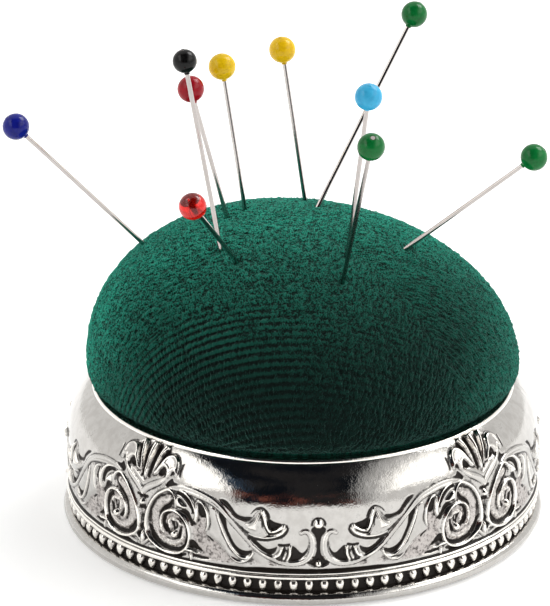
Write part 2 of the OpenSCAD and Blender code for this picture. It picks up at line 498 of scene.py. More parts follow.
def draw_grounds(r):
    """The sunk and roughened grounds between the ornament's parts."""
    level = r.y[:, None] + 0 * r.height
    strip = smooth((5.72 - 0.25 * smooth((r.x - 8) / 3) - level) * 5) * smooth((level - 5.1) * 8)
    r.height -= 0.25 * strip
    r.patina_and_shadow = np.maximum(r.patina_and_shadow, strip * (1 - 0.6 * smooth((r.x - 10) / 5)))
    r.pit([(-0.6, 6.0), (2.6, 6.0), (4.6, 6.4), (6.6, 7.2), (7.8, 6.2), (9.2, 7.2), (10.6, 6.2),
           (12.6, 5.9)], 0.1, 0.4, 0.6, 0)
    r.pit([(22.4, 15.0), (24.2, 13.9), (25.6, 11.9), (26.2, 9.6), (25.8, 7.6), (24.3, 6.4), (22.2, 6.0),
           (20.3, 6.4), (19.2, 8.0), (19.2, 10.0), (20.2, 11.8), (21.2, 12.4), (21.4, 13.4), (21.4, 14.6)],
          0.22, 0.3, 0.75, 0)
    r.pit([(17.7, 13.5), (16.3, 12.0), (16.0, 9.8), (14.6, 9.0), (13.2, 7.6), (12.2, 5.9), (19.0, 5.9),
           (18.6, 8.0), (18.6, 10.5), (18.1, 12.0)], 0.14, 0.4, 1.0, 0)
    r.pit([(27.9, 15.4), (25.0, 16.4), (22.6, 17.0), (21.9, 18.4), (22.6, 19.6), (24.2, 20.7), (25.8, 21.1),
           (27.9, 21.2)], 0.2, 0.3, 0.6, 0)
    r.pit([(27.9, 13.8), (26.6, 13.6), (26.4, 11.6), (26.7, 9.4), (26.4, 7.4), (25.6, 6.6), (27.9, 6.0)],
          0.22, 0.3, 0.7, 0)


def draw_pockets(r):
    """The pockets that stay black with patina, and a painted shadow above the stem."""
    r.pit([(-0.9, 12.1), (0.9, 12.0), (1.0, 11.4), (0.5, 10.6), (0.25, 9.3), (0.4, 8.1), (0.9, 7.2),
           (1.6, 6.5), (-0.9, 6.1)])
    r.pit([(1.3, 10.8), (1.6, 9.0), (2.3, 8.2), (3.1, 8.9), (3.7, 9.3), (3.8, 8.2), (4.2, 7.0), (3.2, 6.8),
           (2.3, 7.3), (1.6, 8.2), (1.3, 9.3)])
    r.pit([(9.7, 9.8), (8.9, 9.8), (8.1, 9.1), (7.2, 8.6), (6.3, 8.8), (5.7, 9.2), (6.0, 8.2), (6.8, 7.6),
           (7.8, 8.0), (8.9, 8.9)])
    r.pit([(7.05, 13.2), (6.3, 12.8), (5.1, 12.4), (5.8, 11.7), (6.6, 11.3), (7.05, 12.0)])
    # painted shadow above the stem, under the leaf
    r.pit([(14.3, 15.4), (13.2, 15.3), (12.4, 14.6), (11.6, 13.6), (10.6, 13.3), (9.4, 13.3), (10.1, 12.5),
           (11.2, 12.7), (12.1, 13.1), (12.9, 14.1)], 0.2)
    r.pit([(14.4, 13.4), (13.6, 13.1), (13.2, 12.2), (13.1, 11.2), (12.6, 10.0), (12.0, 8.9), (11.2, 8.2),
           (10.2, 8.0), (9.3, 8.3), (9.9, 7.4), (11.0, 7.1), (11.9, 7.7), (12.7, 9.1), (13.4, 10.6),
           (14.0, 12.0)])
    r.pit([(26.1, 9.1), (25.3, 8.8), (24.5, 7.7), (23.9, 7.0), (24.7, 6.9), (25.7, 7.7)])
    r.pit([(21.3, 12.6), (20.4, 12.7), (19.7, 13.0), (19.0, 12.7), (18.6, 11.9), (18.0, 11.0), (18.6, 10.6),
           (19.1, 11.4), (19.8, 12.1), (20.6, 12.5)])
    r.pit([(17.4, 14.3), (16.9, 14.0), (16.4, 13.1), (16.3, 12.3), (17.1, 12.1), (17.45, 13.0)])
    r.pit([(18.9, 8.4), (18.2, 8.4), (17.4, 7.6), (16.7, 6.9), (17.7, 7.0), (18.4, 7.2), (19.0, 7.3)])
    r.pit([(26.6, 21.0), (26.1, 21.2), (25.8, 20.0), (25.9, 18.6), (26.1, 17.2), (26.3, 15.9), (26.7, 16.3),
           (26.7, 18.0), (26.6, 19.5)])
    r.pit([(24.7, 20.9), (24.1, 20.6), (24.4, 19.8), (24.8, 19.0), (25.0, 18.2), (25.05, 19.4)])
    r.pit([(24.9, 16.9), (24.7, 17.6), (24.1, 17.8), (23.7, 17.2), (24.3, 16.8)])
    r.pit([(23.1, 16.1), (22.2, 17.0), (21.8, 16.5), (20.9, 16.35), (22.2, 15.7), (22.9, 15.5)])
    r.cut([(9.7, 13.6), (8.9, 14.5), (8.0, 14.75), (7.3, 14.2), (6.9, 13.3)],
          (0.06, 0.12, 0.16, 0.18, 0.08), 0.1, 0.8)
    r.cut([(9.9, 10.2), (8.8, 9.9), (7.4, 9.85), (6.2, 10.1), (5.0, 10.6), (4.3, 11.5), (4.5, 12.3)],
          (0.26, 0.22, 0.12, 0.1, 0.12, 0.12, 0.08), 0.1, 0.85)
    r.cut([(-0.3, 13.5), (0.42, 13.42), (0.82, 13.0), (0.95, 12.4)], 0.12, 0.08, 0.7)
    r.cut([(24.6, 5.6), (22.5, 5.35), (20.8, 5.5), (19.6, 6.0)], (0.1, 0.3, 0.4, 0.2))
    r.cut([(18.2, 6.1), (17.0, 6.0), (16.0, 6.0)], (0.2, 0.3, 0.1))
    r.cut([(21.0, 19.2), (21.05, 18.2), (21.0, 17.3)], 0.14, 0.1)


def draw_scrolls(r):
    """The scroll that rises from the middle motif, runs along as a stem and rolls up into the volute."""
    r.leaf([(14.6, 14.0), (15.8, 14.3), (16.0, 13.0), (15.8, 11.5), (16.1, 10.0), (15.4, 9.2), (14.2, 8.3),
            (13.0, 7.0), (12.1, 6.9), (12.9, 8.6), (13.6, 10.3), (14.2, 12.3)],
           0.14, 0.45, foot_shade=0.2, clean=0.25)
    r.rope([(2.4, 11.25), (1.8, 11.5), (1.2, 11.1), (0.85, 10.2), (0.78, 9.2), (0.95, 8.2), (1.5, 7.3),
            (2.4, 6.75), (3.4, 6.5), (4.6, 6.5), (5.8, 6.8), (7.0, 7.35), (8.2, 8.0), (9.2, 8.8)],
           (0.24, 0.34, 0.36, 0.36, 0.34, 0.3, 0.26, 0.26), 0.5, 0.55)
    r.rope([(7.0, 7.35), (8.2, 8.0), (9.2, 8.8), (10.2, 9.85), (11.2, 10.95), (12.2, 12.05), (13.2, 13.15),
            (14.2, 14.15), (15.3, 14.85), (16.8, 15.35), (18.5, 15.7), (20.5, 15.8), (22.4, 15.5)],
           (0.25, 0.26, 0.28, 0.3, 0.38, 0.48, 0.52, 0.45, 0.2), 0.45, 0.55)
    r.rope([(22.2, 13.9), (23.6, 13.2), (24.6, 11.8), (24.95, 10.2), (24.6, 8.7), (23.6, 7.6), (22.2, 7.2),
            (20.9, 7.6), (20.2, 8.6), (20.2, 9.8), (20.9, 10.8), (21.8, 11.0), (22.4, 10.4), (22.3, 9.6)],
           (0.6, 0.75, 0.75, 0.75, 0.6, 0.5, 0.42, 0.4, 0.4, 0.4, 0.3), 0.06, foot_shade=0.15, clean=0.1)
    # painted shadow inside the bottom of the volute's ring
    r.cut([(24.2, 6.8), (22.8, 6.35), (21.4, 6.35), (20.2, 6.8), (19.5, 7.7)],
          (0.12, 0.3, 0.32, 0.3, 0.16), patina_and_shadow=0.85)
    r.cut([(22.0, 12.0), (22.9, 11.5), (23.35, 10.5), (23.3, 9.5), (22.9, 8.8)],
          (0.12, 0.22, 0.3, 0.36, 0.24))
    r.cut([(23.0, 9.6), (22.4, 8.6)], 0.32)
    r.cut([(20.3, 10.0), (20.5, 9.2), (20.7, 8.4)], 0.36)
    r.cut([(20.5, 11.4), (19.6, 10.5), (19.35, 9.0), (19.6, 7.7)], 0.24, 0.2)
    r.cut([(22.0, 10.7), (21.6, 9.9), (21.5, 9.4)], 0.18)
    r.cut([(21.1, 10.5), (21.2, 9.7)], 0.16)
    r.cut([(21.8, 13.8), (22.3, 12.9), (23.2, 12.3), (24.0, 11.4)], (0.2, 0.32, 0.24, 0.1))
    r.rope([(21.1, 13.0), (21.1, 14.2), (21.6, 15.0), (22.5, 15.25), (23.4, 14.8), (24.4, 14.0),
            (25.3, 12.8), (26.0, 11.4), (26.4, 9.8), (26.4, 8.2), (25.8, 7.2), (24.8, 6.5), (23.6, 6.0),
            (22.3, 5.8), (21.0, 5.95), (20.0, 6.5), (19.3, 7.4), (18.98, 8.6), (19.05, 9.9), (19.5, 11.2),
            (20.4, 12.1), (21.5, 12.4), (22.6, 12.1), (23.4, 11.4), (23.75, 10.4), (23.7, 9.4),
            (23.3, 8.6)],
           (0.12, 0.2, 0.22, 0.24, 0.24, 0.2, 0.2, 0.2, 0.12), 0.5)
    r.ball(21.5, 8.75, 0.58, 0.55)
    r.cut([(21.4, 8.75), (21.5, 8.7)], 0.18)
    r.rope([(14.5, 13.4), (14.3, 12.5), (13.9, 11.3), (13.4, 10.1), (12.8, 8.9), (12.1, 7.9), (11.2, 7.1),
            (10.3, 6.95), (9.6, 7.3), (9.2, 8.0)], (0.12, 0.2, 0.22, 0.2, 0.18, 0.12), 0.42)
    r.rope([(12.6, 6.8), (11.6, 6.3), (10.7, 6.35), (9.9, 6.8), (9.4, 7.4)], (0.1, 0.2, 0.18, 0.1), 0.32)
    r.leaf([(13.1, 12.5), (12.2, 11.6), (10.9, 10.2), (9.8, 8.9), (10.7, 8.5), (11.6, 9.0), (12.3, 10.1),
            (12.8, 11.3)], 0.05, 0.35, foot_shade=0.3)


def draw_leaves(r):
    """The leaves on the stem and beside the volute."""
    r.leaf([(11.6, 12.2), (10.4, 11.9), (9.3, 12.2), (8.5, 13.3), (7.8, 13.6), (7.4, 12.2), (7.0, 11.1),
            (6.2, 11.0), (5.3, 11.4), (6.3, 10.6), (7.6, 10.3), (9.0, 10.35), (10.2, 10.9), (11.0, 11.6)],
           0.35, 0.4)
    r.leaf([(12.2, 12.7), (11.2, 12.35), (10.3, 12.4), (9.5, 12.95), (8.9, 13.8), (8.3, 14.35),
            (7.95, 13.9), (8.05, 12.9), (8.1, 12.0), (8.0, 11.2), (8.9, 10.9), (10.0, 11.2), (11.2, 11.9)],
           0.62, 0.8)
    r.rope([(8.0, 14.2), (7.6, 13.4), (7.4, 12.5), (7.1, 11.7), (6.8, 11.2)],
           (0.16, 0.3, 0.3, 0.22, 0.12), 0.62)
    r.rope([(6.9, 11.3), (6.2, 11.4), (5.5, 11.8), (4.9, 12.15)], (0.12, 0.22, 0.3, 0.26), 0.56)
    r.rope([(4.7, 11.8), (5.2, 11.15), (6.2, 10.65), (7.5, 10.4), (8.8, 10.45), (9.9, 10.75)],
           (0.26, 0.3, 0.28, 0.24, 0.16, 0.1), 0.5)
    r.cut([(8.15, 13.6), (7.95, 12.8), (7.85, 12.0), (7.6, 11.4)], (0.05, 0.12, 0.1, 0.04), 0.15, 0.7)
    r.rope([(6.2, 7.4), (5.5, 7.9), (5.1, 8.9)], (0.15, 0.26, 0.2), 0.5)
    r.rope([(4.9, 7.2), (4.55, 8.3)], (0.2, 0.24, 0.14), 0.45)
    r.rope([(4.4, 7.0), (4.0, 7.9), (3.95, 8.9)], (0.15, 0.28, 0.25), 0.5)
    r.cut([(5.6, 9.3), (4.8, 9.25), (4.1, 9.4)], 0.2, 0.15)
    r.cut([(4.78, 8.9), (4.8, 7.7)], 0.14, 0.15)
    r.cut([(20.9, 15.1), (19.9, 15.0), (18.9, 14.3), (18.5, 13.4), (18.4, 12.6)],
          (0.2, 0.45, 0.5, 0.4, 0.2), 0.35)
    r.leaf([(21.0, 14.5), (20.3, 14.4), (19.7, 13.9), (19.1, 13.3), (19.5, 12.95), (20.4, 13.05),
            (21.0, 13.2)], 0.5, 0.35)
    r.rope([(20.6, 15.5), (19.4, 15.2), (18.5, 14.5), (17.95, 13.4), (17.85, 12.4), (18.1, 11.5)],
           (0.1, 0.2, 0.22, 0.2, 0.1), 0.45)
    r.rope([(17.6, 14.6), (16.7, 14.3), (16.1, 13.3), (15.95, 12.2), (16.0, 11.1), (16.4, 10.2)],
           (0.1, 0.18, 0.2, 0.18, 0.08), 0.42)
    r.rope([(17.75, 14.3), (17.6, 13.2), (17.65, 12.2), (17.9, 11.3)], (0.1, 0.18, 0.18, 0.1), 0.42)
    r.cut([(16.2, 9.5), (15.8, 9.3), (15.3, 8.8)], (0.1, 0.18, 0.1), 0.15)
    r.rope([(19.4, 6.9), (18.4, 6.8), (17.7, 6.6), (16.9, 6.85)], (0.3, 0.26, 0.16, 0.05), 0.38)
    r.rope([(18.7, 6.3), (18.6, 5.3)], (0.25, 0.25, 0.1), 0.3)


def draw_palmette(r):
    """The palmette over the meeting volutes, the knot under it and the fan at the foot."""
    r.rope([(27.3, 13.5), (26.4, 14.5), (25.4, 15.2), (24.4, 15.8), (23.5, 16.5), (23.0, 17.3)],
           (0.35, 0.45, 0.45, 0.4, 0.3, 0.15), 0.4, 0.3)
    r.leaf([(21.4, 17.3), (21.3, 18.4), (21.6, 19.4), (22.2, 20.1), (23.1, 20.4), (24.0, 20.1),
            (24.6, 19.4), (25.0, 18.5), (25.5, 17.5), (26.0, 16.7), (25.2, 16.7), (24.6, 17.5),
            (24.1, 17.9), (23.6, 17.6), (23.4, 16.9), (22.7, 16.9), (22.3, 17.6), (21.9, 17.2)],
           0.45, 0.45, 0.2)
    r.cut([(21.9, 19.2), (21.75, 18.4), (21.8, 17.6)], (0.08, 0.16, 0.12), 0.12, 0.8)
    r.leaf([(24.3, 20.8), (24.5, 21.35), (24.95, 21.5), (25.4, 21.2), (25.7, 20.2), (25.85, 19.0),
            (26.05, 17.6), (26.3, 16.3), (26.0, 16.6), (25.6, 17.5), (25.2, 18.6), (24.85, 19.7),
            (24.5, 20.3)], 0.55, 0.4, 0.25)
    r.cut([(25.3, 20.7), (25.4, 19.6), (25.6, 18.4)], (0.06, 0.12, 0.06), 0.12, 0.5)
    r.leaf([(27.7, 21.0), (27.5, 21.4), (27.1, 21.5), (26.7, 21.4), (26.5, 21.0), (26.6, 19.6),
            (26.75, 18.0), (26.8, 16.4), (27.1, 15.6), (27.4, 16.4), (27.45, 18.0), (27.6, 19.6)],
           0.6, 0.4, 0.1)
    r.ball(27.1, 12.3, 0.55, 0.5)
    r.cut([(26.75, 13.1), (26.2, 13.25)], 0.3)
    r.cut([(27.4, 11.4), (26.7, 11.35)], 0.3)
    r.cut([(27.4, 8.7), (26.7, 8.3)], 0.4)
    r.cut([(26.6, 7.3), (26.2, 7.1)], 0.3)
    r.rope([(27.1, 5.8), (27.1, 7.7)], (0.3, 0.42, 0.12), 0.42)
    r.rope([(26.8, 6.0), (26.0, 6.8), (25.3, 6.5)], (0.2, 0.28, 0.1), 0.3)
    r.rope([(25.8, 5.7), (24.2, 6.0), (23.0, 5.7)], (0.2, 0.24, 0.1), 0.22)


def draw_middle(r):
    """The two balls of the middle motif."""
    r.ball(0, 12.65, 0.82, 0.7)
    r.ball(0, 6.5, 0.54, 0.5)


def carve_relief():
    """Height, cavity and ground over half a repeat. Cavity is below 0 in hollows, and there it also carries
    the black patina and the painted shadow.
    """
    r = Relief()
    draw_grounds(r)
    draw_pockets(r)
    draw_scrolls(r)
    draw_leaves(r)
    draw_palmette(r)
    draw_middle(r)
    rough = np.random.default_rng(5)
    grain = soften(rough.standard_normal(r.height.shape), 2.4) * 0.3
    height = soften(r.height, 1.6)
    height += grain * soften(r.ground, 3) * (height < 0.3)
    cavity = height - soften(height, 8) - 0.22 * soften(r.patina_and_shadow, 0.9)
    return height, cavity, soften(r.ground, 2)


def wall_profile():
    """The wall's closed section of (radius, z) from its foot up the outside, over the lip and down the
    inside, and the distance up the wall of those rows that carry relief."""
    up = np.linspace(LOW + 0.5, WALL_END, 120)
    turn = np.maximum(up - SHOULDER_Z, 0) / SHOULDER_R
    outside = np.stack([SHOULDER_X + SHOULDER_R * np.cos(turn),
                        np.minimum(up, SHOULDER_Z) + SHOULDER_R * np.sin(turn)], -1)
    lip = 0.42
    bead = (LIP_R + 0.03, LIP_Z - lip)
    inner_r = SHOULDER_R - WALL_T
    meets = math.degrees(math.acos((MOUTH_R - SHOULDER_X) / inner_r))
    over = np.concatenate([arc(*bead, lip, -35, 90, LIP_ROWS)[:-1],
                           arc(MOUTH_R + lip, LIP_Z - lip, lip, 90, 180, 4)])
    down = line((MOUTH_R, LIP_Z - 0.7), (MOUTH_R, SHOULDER_Z + 6), 2)
    round_in = arc(SHOULDER_X, SHOULDER_Z, inner_r, meets - 3, 0, 6)
    foot = line((WALL_R - WALL_T, 10), (WALL_R - WALL_T, LOW + 0.5), 2)
    return np.concatenate([outside, over, down, round_in, foot]), up


def section_normals(profile):
    """Outward normals of a closed section that runs up its outside."""
    ahead = np.roll(profile, -1, 0) - np.roll(profile, 1, 0)
    return np.stack([ahead[:, 1], -ahead[:, 0]], -1) / np.linalg.norm(ahead, axis=1)[:, None]


def add_casting(name, silver, points, faces, cavity, ground):
    """A piece of the casting, with what its material needs to know at each point."""
    mesh = make_mesh(name, points, faces, {"cavity": np.ravel(cavity), "ground": np.ravel(ground)})
    add_piece(name, mesh, silver, ("base_ring",))


def add_wall(silver):
    """The wall with its relief, which wavers a little as cast work does, the lip and the inside."""
    cols = 1800
    profile, up = wall_profile()
    height, cavity, ground = carve_relief()
    azimuths = circle_angles(cols)
    turn = (azimuths - TURN) * REPEATS / math.pi
    place = np.abs((turn + 1) % 2 - 1) * CELL
    place = place[None, :] + 0.06 * np.sin(5 * azimuths + 1)[None, :] * np.sin(up * 0.5)[:, None]
    level = up[:, None] + 0.05 * np.sin(7 * azimuths)[None, :]
    row, col = (level - LOW) / STEP, np.abs(place) / STEP
    fade = smooth((WALL_END - up) / 0.5)[:, None]
    rows = len(up)
    lift = np.zeros((len(profile), cols))
    lift[:rows] = sample(height, row, col) * fade
    lift[:rows] += 0.012 * np.sin(up * 1.3)[:, None] * np.sin(azimuths * 23)[None, :]
    hollow = np.zeros_like(lift)
    hollow[:rows] = sample(cavity, row, col) * fade
    matt = np.zeros_like(lift)
    matt[:rows] = sample(ground, row, col) * fade
    hollow[rows:rows + LIP_ROWS] = 0.25
    out = section_normals(profile)
    r = profile[:, 0][:, None] + lift * out[:, 0][:, None]
    z = profile[:, 1][:, None] + lift * out[:, 1][:, None]
    quads = ring_quads(len(profile), cols, closed=True)
    add_casting("base_ring_wall", silver, polar(r, azimuths, z), [quads], hollow, matt)


def add_foot(silver):
    """The flange, the channel for the beads and the two mouldings over it, turned in one."""
    cols = 480
    seat_r, seat_z = FOOT_R - 2, 2.0
    inner_r = WALL_R - WALL_T
    flange = (FOOT_R - FLANGE_R, FOOT_Z + FLANGE_R, FLANGE_R)
    bend = np.radians(np.linspace(-88, 88, 13))
    band = np.stack([WALL_R + 0.3 * np.cos(bend) ** 0.6, CHANNEL_Z + 0.24 + 0.3 * np.sin(bend)], -1)
    top = LOW + 1.4
    outside = [
        line((seat_r, FOOT_Z), (flange[0], FOOT_Z), 3),
        arc(*flange, -90, 90, 14),
        line((flange[0], FLANGE_Z), (CHANNEL_R + 0.15, FLANGE_Z), 2),
        line((CHANNEL_R, FLANGE_Z + 0.15), (CHANNEL_R, CHANNEL_Z - 0.1), 6),
        band,
        arc(WALL_R, CHANNEL_Z + 0.84, 0.19, -85, 85, 8),
    ]
    inside = [line((WALL_R - 0.3, top), (inner_r, top), 2), line((inner_r, top), (inner_r, seat_z), 4),
              line((inner_r, seat_z), (seat_r, seat_z), 2), line((seat_r, seat_z), (seat_r, FOOT_Z), 3)]
    profile = np.concatenate([*outside, joined(*inside)])
    azimuths = circle_angles(cols)
    points = turned(profile, azimuths)
    wobble = 0.03 * np.sin(31 * azimuths) * np.sin(12 * azimuths + 2)
    points[..., :2] *= 1 + wobble[None, :, None] / WALL_R
    r, z = profile.T
    channel = (r < WALL_R - 0.2) & (z > FLANGE_Z - 0.1) & (z < CHANNEL_Z + 0.15)
    groove = np.exp(-((z - CHANNEL_Z - 0.6) / 0.06) ** 2) * (r > WALL_R - 0.5)
    ridges = (r > WALL_R + 0.12) & (z > CHANNEL_Z)
    above = smooth((z - CHANNEL_Z - 0.98) / 0.06) * (r > WALL_R - 0.5)
    proud = (np.hypot(r - flange[0], z - flange[1]) > FLANGE_R - 0.01) & (z < FLANGE_Z)
    hollow = -0.35 * channel - 0.3 * groove - 0.3 * above + 0.06 * proud + 0.22 * ridges
    quads = ring_quads(len(profile), cols, closed=True)
    matt = np.repeat(0.8 * channel, cols)
    add_casting("base_ring_foot", silver, points, [quads], np.repeat(hollow, cols), matt)


def add_beads(silver):
    """A row of heart-shaped beads in the channel, points down."""
    count, wide, tall, deep = 98, 1.42, 1.98, 0.8
    around, up = 18, 11
    t = np.linspace(0, math.pi, up + 1)[1:-1][:, None]
    a = circle_angles(around)[None, :]
    level = np.cos(t)
    swell = np.sin(t) ** 0.85 * (1 + 0.2 * level)
    notch = 1 - 0.35 * np.exp(-(np.cos(a) / 0.35) ** 2) * smooth((level - 0.25) / 0.6)
    across = wide / 2 * swell * np.cos(a)
    out = deep * swell * np.sin(a) * notch
    height = tall / 2 * level * np.ones_like(a)
    shape = np.stack([across, out, height], -1).reshape(-1, 3)
    ends = np.array([(0, 0, tall / 2 * 0.9), (0, 0, -tall / 2)])
    shape = np.concatenate([shape, ends])
    body = ring_quads(up - 1, around)[:, ::-1]
    j = np.arange(around)
    on = (j + 1) % around
    last = (up - 2) * around
    caps = np.concatenate([np.stack([np.full(around, len(shape) - 2), on, j], -1)[:, ::-1],
                           np.stack([np.full(around, len(shape) - 1), last + j, last + on], -1)[:, ::-1]])
    spread = np.random.default_rng(11)
    middle = (FLANGE_Z + CHANNEL_Z) / 2 - 0.05
    points, quads, tris = [], [], []
    for k in range(count):
        size = 1 + 0.05 * spread.standard_normal(3)
        azimuth = math.radians(1.2) + 2 * math.pi * k / count
        x, y, z = (shape * size).T
        r = CHANNEL_R + y
        turn = azimuth + x / WALL_R
        points.append(polar(r, turn, middle + z))
        quads.append(body + k * len(shape))
        tris.append(caps + k * len(shape))
    proud = np.tile(np.clip(shape[:, 1] / deep, -1, 1), count)
    faces = [np.concatenate(quads), np.concatenate(tris)]
    matt = np.full(len(proud), 0.45)
    add_casting("base_ring_beads", silver, np.concatenate(points), faces, 0.34 * proud - 0.08, matt)


def silver_material():
    """Silver plate, black in its hollows with patina and with painted shadow at the foot of raised parts,
    rubbed bright on top, not quite flat where it is polished.
    """
    s = Surface("antiqued_silver", Specular_IOR_Level=0.2)
    cavity = s.attribute("cavity")
    ground = s.attribute("ground")
    blotch = s.noise(s.here, 1.6, 4, 0.6)
    fine = s.noise(s.here, 0.22, 2, 0.6)
    grit = s.noise(s.here, 0.5, 3, 0.7)
    peel = s.noise(s.here, 1.1, 2, 0.5)
    edge = s.maths("ADD", s.maths("ADD", cavity, s.sway(blotch, 0.24)), s.sway(fine, 0.14))
    black = s.span(edge, -0.02, -0.17)
    specks = s.span(s.maths("MULTIPLY_ADD", blotch, 0.6, grit), 0.78, 0.98)
    black = s.maths("MAXIMUM", black, s.product(ground, specks, 0.75))
    plate = s.mix(s.span(blotch, 0.35, 0.65), (0.53, 0.515, 0.495), (0.46, 0.445, 0.425))
    ashen = s.mix(fine, (0.40, 0.365, 0.35), (0.60, 0.555, 0.535))
    plate = s.mix(s.product(ground, 0.8), plate, ashen)
    plate = s.mix(s.span(edge, 0.06, 0.22), plate, (0.89, 0.86, 0.81))
    s.set("Base Color", s.mix(black, plate, (0.016, 0.012, 0.010)))
    s.set("Metallic", s.span(black, 0.2, 0.9, 1.0, 0.0))
    gloss = s.maths("MULTIPLY_ADD", ground, 0.3, s.span(peel, 0.3, 0.7, 0.03, 0.07))
    s.set("Roughness", s.maths("MULTIPLY_ADD", black, 0.25, gloss, clamp=True))
    under = s.bump(peel, 0.026)
    s.bump(fine, 0.012, under)
    return s.material


# ------------------------------------------------------------------------------ the velvet cushion
DOME_POWER = 2.07                       # squareness of the dome's outline, 2 being an ellipse
LEAN = -1.03                            # the crown sits this far to the left of the ring's axis
FULL = 1.79                             # how much the left shoulder stands above the level
ROW = 1.12                              # spacing of the knitted rows
PAINTED_LIGHT_WAY = np.array([-0.34, 0.88, 0.32])  # painted light comes from this way, behind and above, and points that face away from it are painted darker
PAINTED_SHADE_WAY = np.array([-0.25, -0.83, -0.5])   # painted shade is darkest on points that face this way, low in front


def dome_point(u, azimuth, inset):
    """The dome's surface. u is 0 at the belt and a quarter turn at the crown."""
    power = 2 / DOME_POWER
    up = np.sin(u) ** power
    r = (BELT_R - inset) * np.cos(u) ** power
    x, y = r * np.sin(azimuth), -r * np.cos(azimuth)
    z = BELT_Z + (CROWN_Z - BELT_Z - inset) * up - FULL * x / BELT_R * up
    return np.stack([x + LEAN * up, y, z], -1)


def skin_point(u, azimuth, inset=0.0):
    """The dome down to the belt, and then the fold under it, where u goes on from 0 down to minus a
    quarter turn at the neck."""
    fold = np.minimum(u, 0)
    point = dome_point(np.maximum(u, 0), azimuth, inset)
    r = (BELT_R - NECK_R) * (np.cos(fold) - 1)
    return point + polar(r, azimuth, (BELT_Z - NECK_Z - inset) * np.sin(fold))


def meridian():
    """Arc length from the crown and the matching u, from the crown to the neck."""
    u = np.linspace(math.pi / 2, -math.pi / 2, 800)
    path = skin_point(u, np.full_like(u, math.pi / 2))
    gone = np.concatenate([[0], np.cumsum(np.linalg.norm(np.diff(path, axis=0), axis=1))])
    return gone, u


def disc_grid(half):
    """A square grid wrapped onto a disc: each point's radius from 0 to 1 and its azimuth."""
    k = np.arange(-half, half + 1) / half
    b, a = np.meshgrid(k, k, indexing="ij")
    wide = np.abs(a) >= np.abs(b)
    first, second = np.where(wide, a, b), np.where(wide, b, a)
    share = np.divide(second, first, out=np.zeros_like(a), where=first != 0) * math.pi / 4
    angle = np.where(wide, share, math.pi / 2 - share)
    x, y = first * np.cos(angle), first * np.sin(angle)
    return np.hypot(x, y), np.arctan2(x, -y)


def grid_index(half):
    """The number of each point of the grid."""
    n = 2 * half + 1
    return np.arange(n * n).reshape(n, n)


def grid_rim(half):
    """The grid's outer points in order, azimuth growing, from the front."""
    index = grid_index(half)
    return np.concatenate([index[0, half:-1], index[:-1, -1], index[-1, :0:-1], index[:0:-1, 0],
                           index[0, :half]])


def grid_quads(half):
    """The grid's faces."""
    index = grid_index(half)
    return np.stack([index[:-1, :-1], index[:-1, 1:], index[1:, 1:], index[1:, :-1]], -1).reshape(-1, 4)


def bag_profile(inset=0.0):
    """The part of the bag inside the casting, from the neck down and in to the gathered opening."""
    bulge = SHOULDER_R - WALL_T - 0.5 - inset
    neck = NECK_R - inset
    meets = math.degrees(math.acos((neck - SHOULDER_X) / bulge))
    return np.concatenate([
        line((neck, NECK_Z - 0.5 + inset), (neck, SHOULDER_Z + 6.2), 2)[:-1],
        arc(SHOULDER_X, SHOULDER_Z, bulge, meets - 4, 0, 6),
        line((BAG_R - inset, 10), (BAG_R - inset, BAG_Z + 1.2), 3),
        arc(BAG_R - inset - 1.2, BAG_Z + inset + 1.2, 1.2, -10, -90, 4),
        line((BAG_R - 4, BAG_Z + inset), (GATHER_R + 0.5, BAG_Z + inset), 9),
    ])


def puff(half):
    """Cloth simulation of the visible skin under pressure, at scale times its size so that the solver is
    at ease. Returns how far each point of a coarse grid moved, in millimetres, held below give."""
    scale, give, frames = 10, 0.9, 20
    far, azimuth = disc_grid(half)
    gone, u = meridian()
    start = skin_point(np.interp(far * gone[-1], gone, u), azimuth, 0.25)
    slack = np.random.default_rng(3)
    start[..., 2] += soften(slack.standard_normal(far.shape), 2.5) * 1.2
    rim = grid_rim(half)
    mesh = make_mesh("puff", start.reshape(-1, 3) * scale, [grid_quads(half), rim[None, ::-1]])
    cloth = bpy.data.objects.new("puff", mesh)
    bpy.context.scene.collection.objects.link(cloth)
    held = cloth.vertex_groups.new(name="held")
    held.add([int(i) for i in np.flatnonzero(far.ravel() > 0.93)], 1.0, "REPLACE")
    settings = cloth.modifiers.new("cloth", "CLOTH").settings
    settings.quality = 6
    settings.use_pressure = True
    settings.uniform_pressure_force = 4
    settings.effector_weights.gravity = 0
    settings.vertex_group_mass = "held"
    settings.tension_stiffness = settings.compression_stiffness = 12
    settings.bending_stiffness = 0.8
    scene = bpy.context.scene
    for step in range(1, frames + 1):
        scene.frame_set(step)
    shaped = cloth.evaluated_get(bpy.context.evaluated_depsgraph_get()).to_mesh()
    moved = np.zeros(start.size, np.float32)
    shaped.vertices.foreach_get("co", moved)
    scene.frame_set(1)
    bpy.data.objects.remove(cloth)
    moved = moved.reshape(-1, 3) / (scale * MM) - start.reshape(-1, 3)
    length = np.linalg.norm(moved, axis=1, keepdims=True)
    return (moved * np.minimum(1, give / np.maximum(length, 1e-9))).reshape(*far.shape, 3)


